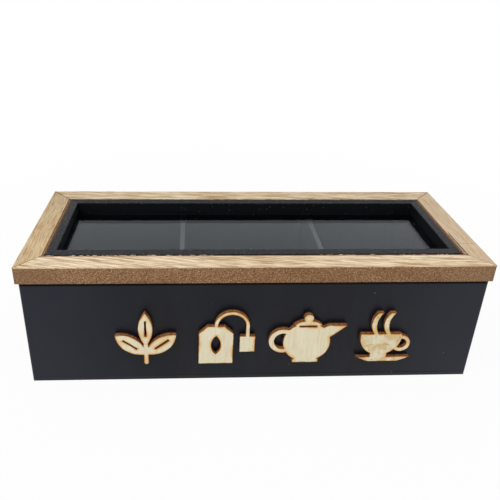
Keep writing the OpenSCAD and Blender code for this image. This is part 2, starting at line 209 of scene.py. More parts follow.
def blackPaint(look):
    material, tree, shader, place = startMaterial("satinBlackPaint", look["rough"], look["shine"])
    x, y, z = apart(place)
    patches = cloud(place, look["patchScale"], 3, 0.6)
    colour = blend(ease(patches, 0.38, 0.62), look["cool"], look["warm"])
    # paler towards both ends of the box: a painted reflection
    ends = ease(absolute(x), 0.35 * boxHalf[0], boxHalf[0], 0.0, 0.75)
    colour = cover(colour, ends, look["pale"])
    smears = cloud(stretch(place, (1, 1, 0.3)), look["smearScale"], 4, 0.65)
    colour = cover(colour, ease(smears, 0.45, 0.7, 0.0, 0.2), look["pale"])
    baseEdge = ease(z, look["seam"], look["seam"] - 0.4 * mm, 0.0, 0.4)
    colour = cover(colour, baseEdge, look["pale"])

    gaps = faceGaps(place, (0, 0, boxHalf[2]), boxHalf)
    ragged = times(cloud(place, look["wearScale"], 3, 0.65), 1.6 * mm)
    # paler along the edges: wear, with a painted edge highlight
    worn = ease(plus(nearEdge(gaps), ragged), 0.9 * mm, 0.6 * mm, 0.0, 0.6)
    colour = cover(colour, worn, look["worn"])
    # a painted shadow: a dark band round the top of the walls, under the lid's overhang
    top = 2 * boxHalf[2] - look["rimShadeLine"]
    rim = ease(z, top - 0.5 * mm, top, 0.0, 0.97)
    colour = cover(colour, rim, look["rim"])
    shown = cloud(stretch(place, (1, 1, 0.2)), look["jointScale"])
    seam = ease(away(z, look["seam"]), 0.3 * mm, 0.05 * mm)
    seam = times(seam, ease(shown, 0.42, 0.58, 0.35, 0.95))
    colour = cover(colour, seam, look["joint"])
    coarse, small = look["dustScale"]
    dust = plus(specks(stretch(place, (0.5, 0.5, 1)), coarse, 0.03, 0.2),
                specks(place, small, 0.1, 0.05))
    colour = cover(colour, times(dust, 0.5), look["dust"])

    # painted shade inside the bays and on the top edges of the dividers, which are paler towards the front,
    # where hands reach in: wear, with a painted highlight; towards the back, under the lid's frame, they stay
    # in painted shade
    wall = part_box("front_wall")[1].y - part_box("front_wall")[0].y
    deep = ease(least(gaps[0], gaps[1]), wall - 0.4 * mm, wall - 0.1 * mm)
    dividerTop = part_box("left_divider")[1].z
    bayShade = times(deep, ease(z, dividerTop - 0.3 * mm, dividerTop - 1 * mm))
    colour = cover(colour, times(bayShade, 0.8), look["inside"])
    ledge = times(deep, ease(away(z, dividerTop), 0.2 * mm, 0.1 * mm))
    colour = cover(colour, ledge, look["inside"])
    # the paler front of the divider tops: wear and a painted highlight
    wornLitFront = times(ledge, ease(y, look["wornLitFront"] + 4 * mm, look["wornLitFront"]))
    colour = cover(colour, wornLitFront, look["ledge"])

    rubs = cloud(stretch(place, (0.5, 1, 1.6)), look["rubScale"], 4, 0.7)
    dull = times(most(most(rim, bayShade), seam), look["dulled"])
    rough = plus(plus(ease(rubs, 0.35, 0.7, -0.03, 0.06), dull), look["rough"])
    fine, wavy = look["rollerScale"]
    roller = plus(cloud(place, fine, 2, 0.6), times(cloud(place, wavy), 1.5))
    endMaterial(tree, shader, colour, rough, minus(roller, times(seam, 3.0)), 0.02 * mm, 0.5)
    return material


mdfLook = {
    "dark": (84, 56, 35), "mid": (144, 107, 75), "light": (200, 165, 124), "patch": (186, 148, 114),
    "cornerShade": (84, 58, 40), "grey": (148, 118, 92), "paint": (20, 21, 25),
    "rough": 0.82, "shine": 0.2, "bare": 1.5 * mm,
    "fibreScale": 1550, "coarseScale": 620, "patchScale": 26, "raggedScale": 500,
}


def rawMdf(look):
    material, tree, shader, place = startMaterial("rawFibreboard", look["rough"], look["shine"])
    middle, reach = (lidLow + lidHigh) / 2, (lidHigh - lidLow) / 2
    gaps = faceGaps(place, middle, reach)
    x, _, z = apart(place)
    fibre = cloud(stretch(place, (0.85, 0.85, 1)), look["fibreScale"], 2, 0.6, 0.2)
    coarse = cloud(place, look["coarseScale"])
    mixed = plus(times(fibre, 0.8), times(coarse, 0.2))
    colour = toneRamp(mixed, [(0.32, look["dark"]), (0.5, look["mid"]), (0.68, look["light"])])
    patches = cloud(stretch(place, (1, 1, 2.5)), look["patchScale"], 3, 0.6)
    colour = cover(colour, ease(patches, 0.35, 0.65, 0.0, 0.3), look["patch"], "MULTIPLY")
    # greyer towards both ends
    greyerToEnds = ease(absolute(x), 0.6 * reach.x, reach.x, 0.0, 0.35)
    colour = cover(colour, greyerToEnds, look["grey"])
    ragged = times(cloud(place, look["raggedScale"]), 1.2 * mm)
    # painted shade: darker brown down the lid's four upright corners
    corner = plus(most(gaps[0], gaps[1]), ragged)
    colour = cover(colour, ease(corner, 1.5 * mm, 0.7 * mm, 0.0, 0.7), look["cornerShade"])
    # a painted highlight along the lid's edges
    rim = plus(nearEdge(gaps), ragged)
    colour = cover(colour, ease(rim, 1.1 * mm, 0.6 * mm, 0.0, 0.3), look["light"])

    # black paint on the underside and on the lip under the glass, and a ragged black line along the lowest
    # edge
    inside = plus(least(gaps[0], gaps[1]), ragged)
    inside = ease(inside, look["bare"], look["bare"] + 0.5 * mm)
    low = ease(z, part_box("glass_pane")[1].z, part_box("glass_pane")[0].z)
    painted = times(inside, low)
    colour = cover(colour, painted, look["paint"])
    raggedLowLine = plus(minus(z, lidLow.z), times(ragged, 0.8))
    colour = cover(colour, ease(raggedLowLine, 0.6 * mm, 0.4 * mm, 0.0, 0.85), look["paint"])
    endMaterial(tree, shader, colour, None, times(fibre, minus(1.1, painted)), 0.25 * mm, 0.8)
    return material


oakLook = {
    "light": (254, 239, 208), "mid": (236, 212, 174), "dark": (192, 159, 116), "pore": (146, 110, 72),
    "patch": (206, 172, 134), "mitre": (110, 84, 52), "crack": (70, 46, 28), "edge": (126, 88, 54),
    "torn": 10.72,  # how far in the torn edge starts, in millimetres
    "rough": 0.62, "shine": 0.35,
    "broadScale": (14, 420), "fineScale": (42, 1500), "poreScale": (60, 1600), "dashScale": (95, 850),
    "driftScale": (16, 60), "patchScale": 30, "mitreScale": 600, "edgeScale": 260,
}
# along: turn of the grain, slant: its angle to the rail, bow: how much that angle changes along the rail,
# streak: contrast of the streaks, short: how short they are, far: the brightness left at the back end
oakRails = {
    "front": {"along": 0, "slant": -8.0, "bow": 0.5, "streak": 2.8, "short": 1.0, "pores": 0.75,
              "tint": (0.99, 0.968, 0.955), "shift": 0.0, "far": 1.0},
    "right": {"along": 90, "slant": -1.0, "bow": 0, "streak": 0.6, "short": 2.0, "pores": 0.14,
              "tint": (0.76, 0.695, 0.65), "shift": 1.7, "far": 0.92,
              "split": {"inset": 10.55, "end": -8 * mm, "across": -23 * mm, "wanderScale": 90}},
    "back": {"along": 0, "slant": -3.6, "bow": 0, "streak": 3.6, "short": 0.9, "pores": 0.7,
             "tint": (0.85, 0.835, 0.80), "shift": 3.1, "far": 1.0},
    "left": {"along": 90, "slant": 1.5, "bow": 0, "streak": 1.09, "short": 2.0, "pores": 0.4,
             "tint": (0.745, 0.66, 0.545), "shift": 4.9, "far": 0.8},
}


def splitVeneer(tree, place, colour, dark, split):  # a crack beside the joint and a faint line across
    y = apart(place)[1]
    wander = minus(cloud(place, split["wanderScale"], 3), 0.5)
    offCrack = away(plus(pieceValue(tree, "inset"), wander), split["inset"])
    crack = times(ease(offCrack, 0.7, 0.3), ease(y, split["end"], split["end"] - 6 * mm))
    colour = cover(colour, times(crack, 0.85), dark)
    offLine = away(plus(y, times(wander, 2 * mm)), split["across"])
    return cover(colour, ease(offLine, 0.5 * mm, 0.1 * mm, 0.0, 0.3), dark)


def oakVeneer(side, look, rail):
    material, tree, shader, place = startMaterial(side + "Oak", look["rough"], look["shine"])
    x, y, _ = apart(place)
    turned = stretch(place, turn=-radians(rail["along"] + rail["slant"]), shift=(rail["shift"],) * 3)
    along, across = look["driftScale"]
    drift = cloud(stretch(turned, (along, across, across)), 1)
    bow = times(times(x, x), -rail["bow"])
    bent = together(y=plus(times(drift, 4 * mm), bow))
    grain = fed("ShaderNodeVectorMath", {0: turned, 1: bent}, operation="ADD")

    def streaks(name, short, detail, rough):
        along, across = look[name]
        return cloud(stretch(grain, (along * short, across, across)), 1, detail, rough)

    fine = streaks("fineScale", rail["short"], 4, 0.65)
    broad = streaks("broadScale", rail["short"], 2, 0.5)
    mixed = plus(times(broad, 0.22), times(fine, 0.78))
    spread = plus(times(minus(mixed, 0.5), rail["streak"]), 0.52)
    colour = toneRamp(spread, [(0.33, look["dark"]), (0.46, look["mid"]), (0.55, look["light"])])
    pore = ease(streaks("poreScale", rail["short"], 3, 0.6), 0.58, 0.64)
    colour = cover(colour, times(pore, rail["pores"]), look["pore"])
    dash = ease(streaks("dashScale", 1, 2, 0.6), 0.5, 0.64)
    colour = cover(colour, times(dash, 0.65 * rail["pores"]), look["dark"])
    patches = cloud(place, look["patchScale"])
    colour = cover(colour, ease(patches, 0.4, 0.65, 0.0, 0.22), look["patch"], "MULTIPLY")
    colour = mixTone(1.0, colour, (*rail["tint"], 1), "MULTIPLY")
    darker = (rail["far"],) * 3 + (1,)
    colour = mixTone(ease(y, -0.4 * lidHigh.y, 0.8 * lidHigh.y), colour, darker, "MULTIPLY")
    if "split" in rail:
        colour = splitVeneer(tree, place, colour, look["crack"], rail["split"])

    # the mitre at the back left shows darkest
    mitre = plus(pieceValue(tree, "mitre"), times(cloud(place, look["mitreScale"]), 0.4))
    backLeft = times(isUnder(x, 0), isOver(y, 0))
    shown = times(ease(mitre, 0.5, 0.3), plus(0.16, times(backLeft, 0.6)))
    colour = cover(colour, shown, look["mitre"])
    inset = plus(pieceValue(tree, "inset"), times(cloud(place, look["edgeScale"], 3), 0.8))
    colour = cover(colour, ease(inset, 0.9, 0.45, 0.0, 0.45), look["dark"])
    if side == "front":
        torn = ease(inset, look["torn"], look["torn"] + 0.25, 0.0, 0.9)
        colour = cover(colour, torn, look["edge"])
    rough = ease(fine, 0.3, 0.7, look["rough"] + 0.1, look["rough"] - 0.08)
    endMaterial(tree, shader, colour, rough, minus(fine, pore), 0.08 * mm, 0.7)
    return material


beadLook = {
    "paint": (3, 4, 7), "worn": (104, 98, 96), "raw": (116, 78, 52), "rawDark": (84, 56, 40),
    "mitre": (2, 2, 3), "dust": (140, 138, 136), "shine": 0.18, "gloss": (0.88, 0.9, 1, 1),
    "rough": 0.42, "backRough": 0.56,
    "rawEnd": 0.9, "rawSide": -0.4,  # width of the bare strip along the outer edge, in millimetres
    "brushScale": 1100, "raggedScale": 480, "patchScale": 24, "rawScale": 1400, "dustScale": 480,
    "waveScale": 900,
}


def beadPaint(name, look, rawWidth, roughness):
    material, tree, shader, place = startMaterial(name, roughness, look["shine"])
    shader.inputs["Specular Tint"].default_value = look["gloss"]
    z = apart(place)[2]
    onTop = ease(z, lidHigh.z - 0.9 * mm, lidHigh.z - 0.3 * mm)
    brush = cloud(stretch(place, (0.6, 1, 1)), look["brushScale"], 3, 0.7)
    rubbed = times(ease(brush, 0.48, 0.66, 0.0, 0.42), onTop)
    colour = blend(rubbed, look["paint"], look["worn"])
    ragged = times(minus(cloud(place, look["raggedScale"], 3, 0.7), 0.5), 0.9)
    patches = cloud(place, look["patchScale"], 3, 0.6)
    width = ease(patches, 0.4, 0.62, 0.75 * rawWidth, 1.25 * rawWidth)
    bare = minus(plus(pieceValue(tree, "inset"), ragged), width)
    raw = ease(bare, 0.12, -0.05)
    rawTone = blend(cloud(place, look["rawScale"], 3), look["rawDark"], look["raw"])
    colour = mixTone(raw, colour, rawTone)
    colour = cover(colour, ease(pieceValue(tree, "mitre"), 0.4, 0.15, 0.0, 0.9), look["mitre"])
    dust = specks(place, look["dustScale"], 0.15, 0.24)
    colour = cover(colour, times(dust, 0.5), look["dust"])
    dull = most(times(raw, 0.4), ease(onTop, 1.0, 0.0, 0.0, 0.25))
    rough = plus(ease(brush, 0.3, 0.7, roughness - 0.06, roughness + 0.08), dull)
    height = plus(brush, cloud(place, look["waveScale"], 3, 0.6))
    endMaterial(tree, shader, colour, rough, height, 0.04 * mm, 0.7)
    return material


plyLook = {
    "face": (241, 232, 203), "vein": (228, 215, 180), "gold": (234, 192, 120), "orange": (204, 134, 66),
    "char": (62, 37, 20), "stain": (212, 178, 108), "fleck": (128, 88, 48),
    "rough": 0.66, "shine": 0.3, "thick": 3.0, "mottledFrom": 48 * mm,
    "grainScale": (1400, 60), "stainScale": 150, "fleckScale": 700, "burnScale": 85, "layerScale": 900,
    "sootScale": 700,
}
plyLayers = [  # from the face to the back, through the cut edge
    (0.0, plyLook["orange"]), (0.1, (196, 126, 66)), (0.28, (112, 64, 34)), (0.34, plyLook["char"]),
    (0.4, (204, 140, 80)), (0.6, (168, 104, 54)), (0.66, plyLook["char"]), (0.72, (104, 62, 34)),
    # the last two stops, near black: charring, and painted shadow where the piece meets the wall
    (0.9, (22, 15, 12)), (1.0, (5, 4, 4)),
]


def birchPly(look):
    material, tree, shader, place = startMaterial("birchPlywood", look["rough"], look["shine"])
    across, along = look["grainScale"]
    grain = cloud(stretch(place, (across, across, along)), 1, 4, 0.6)
    colour = blend(ease(grain, 0.42, 0.75), look["face"], look["vein"])
    last = isOver(apart(place)[0], look["mottledFrom"])  # the last one's sheet was stained
    stain = ease(cloud(place, look["stainScale"], 4, 0.65), 0.42, 0.62)
    mottle = times(stain, plus(times(last, 0.6), 0.12))
    colour = cover(colour, mottle, look["stain"])
    flecks = times(ease(cloud(place, look["fleckScale"], 3, 0.7), 0.62, 0.67), last)
    colour = cover(colour, times(flecks, 0.9), look["fleck"])

    burn = ease(cloud(place, look["burnScale"], 3, 0.6), 0.38, 0.66, 0.25, 2.2)
    rim = over(pieceValue(tree, "rim"), burn)  # how far the scorching reaches in
    colour = cover(colour, ease(rim, 1.1, 0.2, 0.0, 0.85), look["gold"])
    colour = cover(colour, ease(rim, 0.4, 0.08, 0.0, 0.9), look["orange"])
    colour = cover(colour, ease(rim, 0.16, 0.02, 0.0, 0.9), look["char"])

    depth = pieceValue(tree, "depth")
    wavy = times(minus(cloud(place, look["layerScale"], 3), 0.5), 0.3)
    layers = toneRamp(over(plus(depth, wavy), look["thick"]), plyLayers)
    soot = cloud(stretch(place, (1, 0.3, 1)), look["sootScale"], 3, 0.7)
    layers = cover(layers, ease(soot, 0.42, 0.66, 0.0, 0.6), look["char"])
    colour = mixTone(ease(depth, 0.05, 0.14), colour, layers)
    endMaterial(tree, shader, colour, None, grain, 0.06 * mm, 0.6)
    return material


brassLook = {"bright": (198, 166, 108), "dull": (170, 138, 86), "spot": (110, 84, 54), "rough": 0.3,
             "patchScale": 190, "spotScale": 620, "screwScale": (700, 700, 700), "hingeScale": (90, 900, 900)}


def dulledBrass(name, look, lineScale):
    material, tree, shader, place = startMaterial(name, look["rough"])
    shader.inputs["Metallic"].default_value = 1
    patches = cloud(place, look["patchScale"], 4, 0.65)
    colour = blend(ease(patches, 0.35, 0.68), look["bright"], look["dull"])
    spots = cloud(place, look["spotScale"], 3, 0.7)
    colour = cover(colour, ease(spots, 0.64, 0.74, 0.0, 0.4), look["spot"])
    lines = cloud(stretch(place, lineScale), 1, 3, 0.6)
    rough = ease(lines, 0.3, 0.75, look["rough"] - 0.08, look["rough"] + 0.25)
    endMaterial(tree, shader, colour, rough, lines, 0.02 * mm, 0.5)
    return material


glassLook = {"tint": (0.94, 0.97, 0.98, 1), "sheen": (0.84, 0.94, 1, 1), "bend": 1.26, "shine": 0.21}


def paneGlass(look):  # shadows and the light of matt surfaces pass straight through
    material, tree, shader, _ = startMaterial("paneGlass", 0.0, look["shine"])
    shader.inputs["Base Color"].default_value = look["tint"]
    shader.inputs["Specular Tint"].default_value = look["sheen"]
    shader.inputs["IOR"].default_value = look["bend"]
    shader.inputs["Transmission Weight"].default_value = 1
    through = output(tree, "ShaderNodeBsdfTransparent", {"Color": look["tint"]})
    path = addNode(tree, "ShaderNodeLightPath").outputs
    unbent = most(path["Is Shadow Ray"], path["Is Diffuse Ray"])
    mixShaders(tree, unbent, shader.outputs[0], through)
    return material


splinterLook = {"pale": (232, 206, 168), "brown": (120, 78, 46), "rough": 0.75, "shine": 0.2,
                "fleckScale": 420, "fibreScale": 4000}


def splinterWood(look):
    material, tree, shader, place = startMaterial("splinterWood", look["rough"], look["shine"])
    fleck = ease(cloud(place, look["fleckScale"]), 0.44, 0.56)
    colour = blend(fleck, look["pale"], look["brown"])
    fibre = cloud(stretch(place, (0.2, 1, 1)), look["fibreScale"])
    endMaterial(tree, shader, colour, None, fibre, 0.05 * mm)
    return material


lintLook = {"pale": (226, 228, 232), "dark": (150, 152, 158), "rough": 0.9, "shine": 0.1, "fluffScale": 900}


def lint(look):
    material, tree, shader, place = startMaterial("paleLint", look["rough"], look["shine"])
    endMaterial(tree, shader, blend(cloud(place, look["fluffScale"]), look["pale"], look["dark"]))
    return material


finishes = {
    "splinters": splinterWood(splinterLook),
    "lint": lint(lintLook),
    "screw_brass": dulledBrass("screwBrass", brassLook, brassLook["screwScale"]),
    "black_paint": blackPaint(blackLook),
    "raw_mdf": rawMdf(mdfLook),
    "birch_plywood": birchPly(plyLook),
    "hinge_brass": dulledBrass("dulledBrass", brassLook, brassLook["hingeScale"]),
    "glass": paneGlass(glassLook),
}
oakFinish = {side: oakVeneer(side, oakLook, oakRails[side]) for side in sides}
endBeads = beadPaint("endBeadPaint", beadLook, beadLook["rawEnd"], beadLook["rough"])
beadFinish = {
    "front": beadPaint("frontBeadPaint", beadLook, beadLook["rawSide"], beadLook["rough"]),
    "right": endBeads,
    "back": beadPaint("backBeadPaint", beadLook, beadLook["rawSide"], beadLook["backRough"]),
    "left": endBeads,
}
print("materials made")

for piece in cad.values():
    for place in piece.material_slots:
        if place.material.name in finishes:
            place.material = finishes[place.material.name]


# geometry trees

kinds = {"number": "NodeSocketFloat", "count": "NodeSocketInt", "place": "NodeSocketVector",
         "finish": "NodeSocketMaterial"}
sharpAngle = radians(35)


def startTree(name, sockets):
    tree = bpy.data.node_groups.new(name, "GeometryNodeTree")
    tree.interface.new_socket(name="Geometry", in_out="INPUT", socket_type="NodeSocketGeometry")
    tree.interface.new_socket(name="Geometry", in_out="OUTPUT", socket_type="NodeSocketGeometry")
    keys = {}
    for socket, kind in sockets.items():
        made = tree.interface.new_socket(name=socket, in_out="INPUT", socket_type=kinds[kind])
        keys[socket] = made.identifier
    given = tree.nodes.new("NodeGroupInput").outputs
    return tree, given, keys


def endTree(tree, geometry, finish):
    plain = fed("GeometryNodeRealizeInstances", {0: geometry})
    dressed = fed("GeometryNodeSetMaterial", {"Geometry": plain, "Material": finish})
    tree.links.new(dressed, tree.nodes.new("NodeGroupOutput").inputs[0])


def moved(shape, shift=(0, 0, 0), turn=(0, 0, 0)):
    return fed("GeometryNodeTransform", {"Geometry": shape, "Translation": shift, "Rotation": turn})


def newPiece(name, points, edges=(), faces=()):
    mesh = bpy.data.meshes.new(name)
    mesh.from_pydata([tuple(p) for p in points], list(edges), list(faces))
    piece = bpy.data.objects.new(name, mesh)
    bpy.context.scene.collection.objects.link(piece)
    return piece


def growPiece(piece, grower, values):  # runs a tree on the piece and keeps the result as a plain mesh
    tree, keys = grower
    growth = piece.modifiers.new(tree.name, "NODES")
    growth.node_group = tree
    for socket, value in values.items():
        growth[keys[socket]] = value
    evaluated = piece.evaluated_get(bpy.context.evaluated_depsgraph_get())
    grown = bpy.data.meshes.new_from_object(evaluated)
    grown.name = piece.name
    piece.modifiers.clear()
    piece.data = grown


def smoothPiece(piece):
    piece.data.shade_smooth()
    piece.data.set_sharp_from_angle(angle=sharpAngle)


def settle(piece, body, slot, *replaced):
    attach(piece, body)
    if replaced:
        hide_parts(*replaced)


# lid strips: a profile swept along X, cut to 45 degrees at both ends, its edges left slightly ragged

def mitredStrip():
    tree, given, keys = startTree("mitredStrip", {
        "Length": "number", "Width": "number", "Stations": "count", "Ragged outside": "number",
        "Ragged inside": "number", "Ripple": "number", "Seed": "number", "Turn": "place",
        "Place": "place", "Finish": "finish",
    })
    profile = fed("GeometryNodeMeshToCurve", {"Mesh": given["Geometry"]})
    half = times(given["Length"], 0.5)
    ends = {"Start": together(x=times(half, -1.0)), "End": together(x=half)}
    line = fed("GeometryNodeCurvePrimitiveLine", ends)
    path = fed("GeometryNodeResampleCurve", {"Curve": line, "Count": given["Stations"]})
    shape = fed("GeometryNodeCurveToMesh", {"Curve": path, "Profile Curve": profile, "Fill Caps": True})
    spot = output(tree, "GeometryNodeInputPosition")
    x, y, z = apart(spot)
    reach = minus(half, y)
    mitred = times(x, over(reach, half))
    toMitre = minus(reach, absolute(mitred))
    for label, value in (("mitre", toMitre), ("inset", y)):
        inputs = {"Geometry": shape, "Name": label, "Value": times(value, 1 / mm)}
        shape = fed("GeometryNodeStoreNamedAttribute", inputs, data_type="FLOAT", domain="POINT")

    def shake(scale, detail):  # noise from -1 to 1 along the bar, its own for each strip
        inputs = {"Vector": spot, "W": given["Seed"], "Scale": scale, "Detail": detail}
        return times(minus(fed("ShaderNodeTexNoise", inputs, noise_dimensions="4D"), 0.5), 2.0)

    edge, foot = 0.9 * mm, 0.2 * mm  # how far in an edge is ragged, and how much of the bottom stays flat
    chipScale, rippleScale = 330, 45
    nearIn = ease(minus(given["Width"], y), edge, 0.0)
    nearOut = ease(y, edge, 0.0)
    chips = times(ease(shake(chipScale, 3), -0.1, 0.75), -1.0)
    moveIn = times(times(chips, given["Ragged inside"]), nearIn)
    moveOut = times(times(chips, given["Ragged outside"]), nearOut)
    sink = times(minus(ease(shake(rippleScale, 2), -0.8, 0.8), 1.0), given["Ripple"])
    newPlace = together(mitred, plus(y, minus(moveIn, moveOut)), plus(z, times(sink, isOver(z, foot))))
    shape = fed("GeometryNodeSetPosition", {"Geometry": shape, "Position": newPlace})
    endTree(tree, moved(shape, given["Place"], given["Turn"]), given["Finish"])
    return tree, keys


def stripProfile(width, height, outerRound, innerRound, spacing, roundSteps=6):
    turns = [pi / 2 * i / roundSteps for i in range(roundSteps + 1)]
    points = [(0, 0)]
    for turn in turns:  # rounded outer top edge
        points.append((outerRound * (1 - cos(turn)), height - outerRound * (1 - sin(turn))))
    flat = width - outerRound - innerRound
    steps = round(flat / spacing)
    for i in range(1, steps):
        points.append((outerRound + flat * i / steps, height))
    for turn in turns:  # rounded inner top edge
        points.append((width - innerRound * (1 - sin(turn)), height - innerRound * (1 - cos(turn))))
    points.append((width, 0))
    points.reverse()
    return [(-across, -up, 0) for across, up in points]


strips = mitredStrip()


def lidStrip(name, side, low, high, look, finish):
    middle, turn = (low + high) / 2, sides.index(side)
    long, wide = (high.x - low.x, high.y - low.y) if turn % 2 == 0 else (high.y - low.y, high.x - low.x)
    place = [(middle.x, low.y), (high.x, middle.y), (middle.x, high.y), (low.x, middle.y)][turn]
    outline = stripProfile(wide, high.z - low.z, look["outerRound"], look["innerRound"], look["spacing"])
    ring = [(i, (i + 1) % len(outline)) for i in range(len(outline))]
    piece = newPiece(side + name, outline, ring)
    growPiece(piece, strips, {
        "Length": long, "Width": wide, "Stations": round(long / look["spacing"]), "Finish": finish,
        "Ragged outside": look["raggedOut"], "Ragged inside": look["raggedIn"], "Ripple": look["ripple"],
        "Seed": look["seed"] + 3.0 * turn, "Turn": (0.0, 0.0, turn * pi / 2), "Place": (*place, low.z),
    })
    smoothPiece(piece)
    return piece


veneerLook = {"outerRound": 0.3 * mm, "innerRound": 0.12 * mm, "spacing": 0.6 * mm, "seed": 2.0,
              "raggedOut": 0.1 * mm, "raggedIn": 0.2 * mm, "ripple": 0.04 * mm}
beadShape = {"outerRound": 0.3 * mm, "innerRound": 0.3 * mm, "spacing": 0.5 * mm, "seed": 20.0,
             "raggedOut": 0.35 * mm, "raggedIn": 0.06 * mm, "ripple": 0.08 * mm}
fillerLook = {"outerRound": 0.05 * mm, "innerRound": 0.05 * mm, "spacing": 0.4 * mm, "seed": 40.0,
              "raggedOut": 0.0, "raggedIn": 0.0, "ripple": 0.3 * mm,
              "below": {"front": 2.6 * mm, "right": 0.6 * mm, "back": 0.3 * mm, "left": 0.4 * mm}}
for side in sides:
    settle(lidStrip("Veneer", side, *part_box(side + "_veneer"), veneerLook, oakFinish[side]),
           "lid", "oak_veneer", side + "_veneer")
    settle(lidStrip("Bead", side, *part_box(side + "_bead"), beadShape, beadFinish[side]),
           "lid", "black_bead", side + "_bead")
jointLow = Vector((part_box("left_veneer")[1].x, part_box("front_veneer")[1].y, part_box("glass_pane")[1].z))
jointHigh = Vector((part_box("right_veneer")[0].x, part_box("back_veneer")[0].y, lidHigh.z))
jointIn = Vector((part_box("left_bead")[0].x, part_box("front_bead")[0].y))
for side in sides:  # sawdust and paint that partly fill the joint round the beads
    low, high = jointLow.copy(), jointHigh.copy()
    high.z -= fillerLook["below"][side]
    if side in ("front", "back"):
        low.y, high.y = (low.y, jointIn.y) if side == "front" else (-jointIn.y + low.y + high.y, high.y)
    else:
        low.x, high.x = (low.x, jointIn.x) if side == "left" else (-jointIn.x, high.x)
    finish, slot = ("black_paint", "black_bead") if side in ("front", "back") else ("raw_mdf", "raw_mdf")
    settle(lidStrip("JointFiller", side, low, high, fillerLook, finishes[finish]), "lid", slot)
print("lid strips made")


# splinters in the front and back joints, and dust on the glass: small chips thrown along a box of points

def scatteredChips():
    tree, given, keys = startTree("scatteredChips", {
        "Low": "place", "High": "place", "Count": "count", "Share kept": "number", "Smallest": "place",
        "Largest": "place", "Swing": "number", "Seed": "count", "Finish": "finish",
    })
    cells = fed("GeometryNodeMeshLine", {"Count": given["Count"]}, mode="OFFSET")

    def thrown(low, high, step, kind="FLOAT_VECTOR"):  # a random value for each chip
        first, result = (2, 1) if kind == "FLOAT" else (0, 0)
        inputs = {first: low, first + 1: high, "Seed": plus(given["Seed"], step)}
        return fedNode("FunctionNodeRandomValue", inputs, data_type=kind).outputs[result]

    place = thrown(given["Low"], given["High"], 1.0)
    spots = fed("GeometryNodeSetPosition", {"Geometry": cells, "Position": place})
    dropped = isOver(thrown(0.0, 1.0, 2.0, "FLOAT"), given["Share kept"])
    spots = fed("GeometryNodeDeleteGeometry", {"Geometry": spots, "Selection": dropped})
    chip = output(tree, "GeometryNodeMeshIcoSphere", {"Radius": 0.5, "Subdivisions": 1})
    turn = together(z=thrown(times(given["Swing"], -1.0), given["Swing"], 3.0, "FLOAT"))
    size = thrown(given["Smallest"], given["Largest"], 4.0)
    inputs = {"Points": spots, "Instance": chip, "Rotation": turn, "Scale": size}
    endTree(tree, fed("GeometryNodeInstanceOnPoints", inputs), given["Finish"])
    return tree, keys


chipGrower = scatteredChips()
splinterShape = {"Smallest": (0.6 * mm, 0.2 * mm, 0.1 * mm), "Largest": (3 * mm, 0.45 * mm, 0.3 * mm),
                 "Swing": 0.1}
# low, high: kept free at the joint's two edges, sunk: how far below the lid's top their layer starts,
# deep: how thick that layer is
splinterSpace = {"low": 0.3 * mm, "high": 0.15 * mm, "sunk": 0.16 * mm, "deep": 0.15 * mm}
splinterRows = {
    "front": {"Count": 80, "Share kept": 0.75, "Seed": 5, "from": -1.0, "to": -0.2},
    "frontRight": {"Count": 50, "Share kept": 0.6, "Seed": 11, "from": 0.3, "to": 1.0},
    "back": {"Count": 40, "Share kept": 0.7, "Seed": 17, "from": -0.6, "to": 1.0},
}
for row, look in splinterRows.items():
    reach, up = jointHigh.x, lidHigh.z - splinterSpace["sunk"]
    across = (jointLow.y, jointIn.y) if row.startswith("front") else (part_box("back_bead")[1].y, jointHigh.y)
    low = (look["from"] * reach, across[0] + splinterSpace["low"], up - splinterSpace["deep"])
    high = (look["to"] * reach, across[1] - splinterSpace["high"], up)
    chips = newPiece(row + "Splinters", [(0, 0, 0)])
    growPiece(chips, chipGrower, {"Low": low, "High": high, "Finish": finishes["splinters"], **splinterShape,
                                  **{key: look[key] for key in ("Count", "Share kept", "Seed")}})
    settle(chips, "lid", "raw_mdf")

dustLook = {"Count": 60, "Share kept": 0.9, "Smallest": (0.12 * mm,) * 3, "Largest": (0.34 * mm,) * 3,
            "Swing": 3.0, "Seed": 29}
# edge: in from the pane's edge, low, high: up from its top
dustSpace = {"edge": 7 * mm, "low": 0.08 * mm, "high": 0.1 * mm}
dust = newPiece("glassDust", [(0, 0, 0)])
low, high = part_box("glass_pane")
inwards = Vector((dustSpace["edge"], dustSpace["edge"], 0))
growPiece(dust, chipGrower, {"Low": (*(low + inwards).xy, high.z + dustSpace["low"]),
                             "High": (*(high - inwards).xy, high.z + dustSpace["high"]),
                             "Finish": finishes["lint"], **dustLook})
settle(dust, "lid", "glass")
print("splinters and dust made")


# hinge screws: a countersunk head with a cross recess and a shank, each turned its own way

# arms of the recess in head widths, point in shank widths, overlap of shank and head in head heights
screwShares = {"armLong": 0.62, "armWide": 0.14, "point": 0.4, "overlap": 0.1}


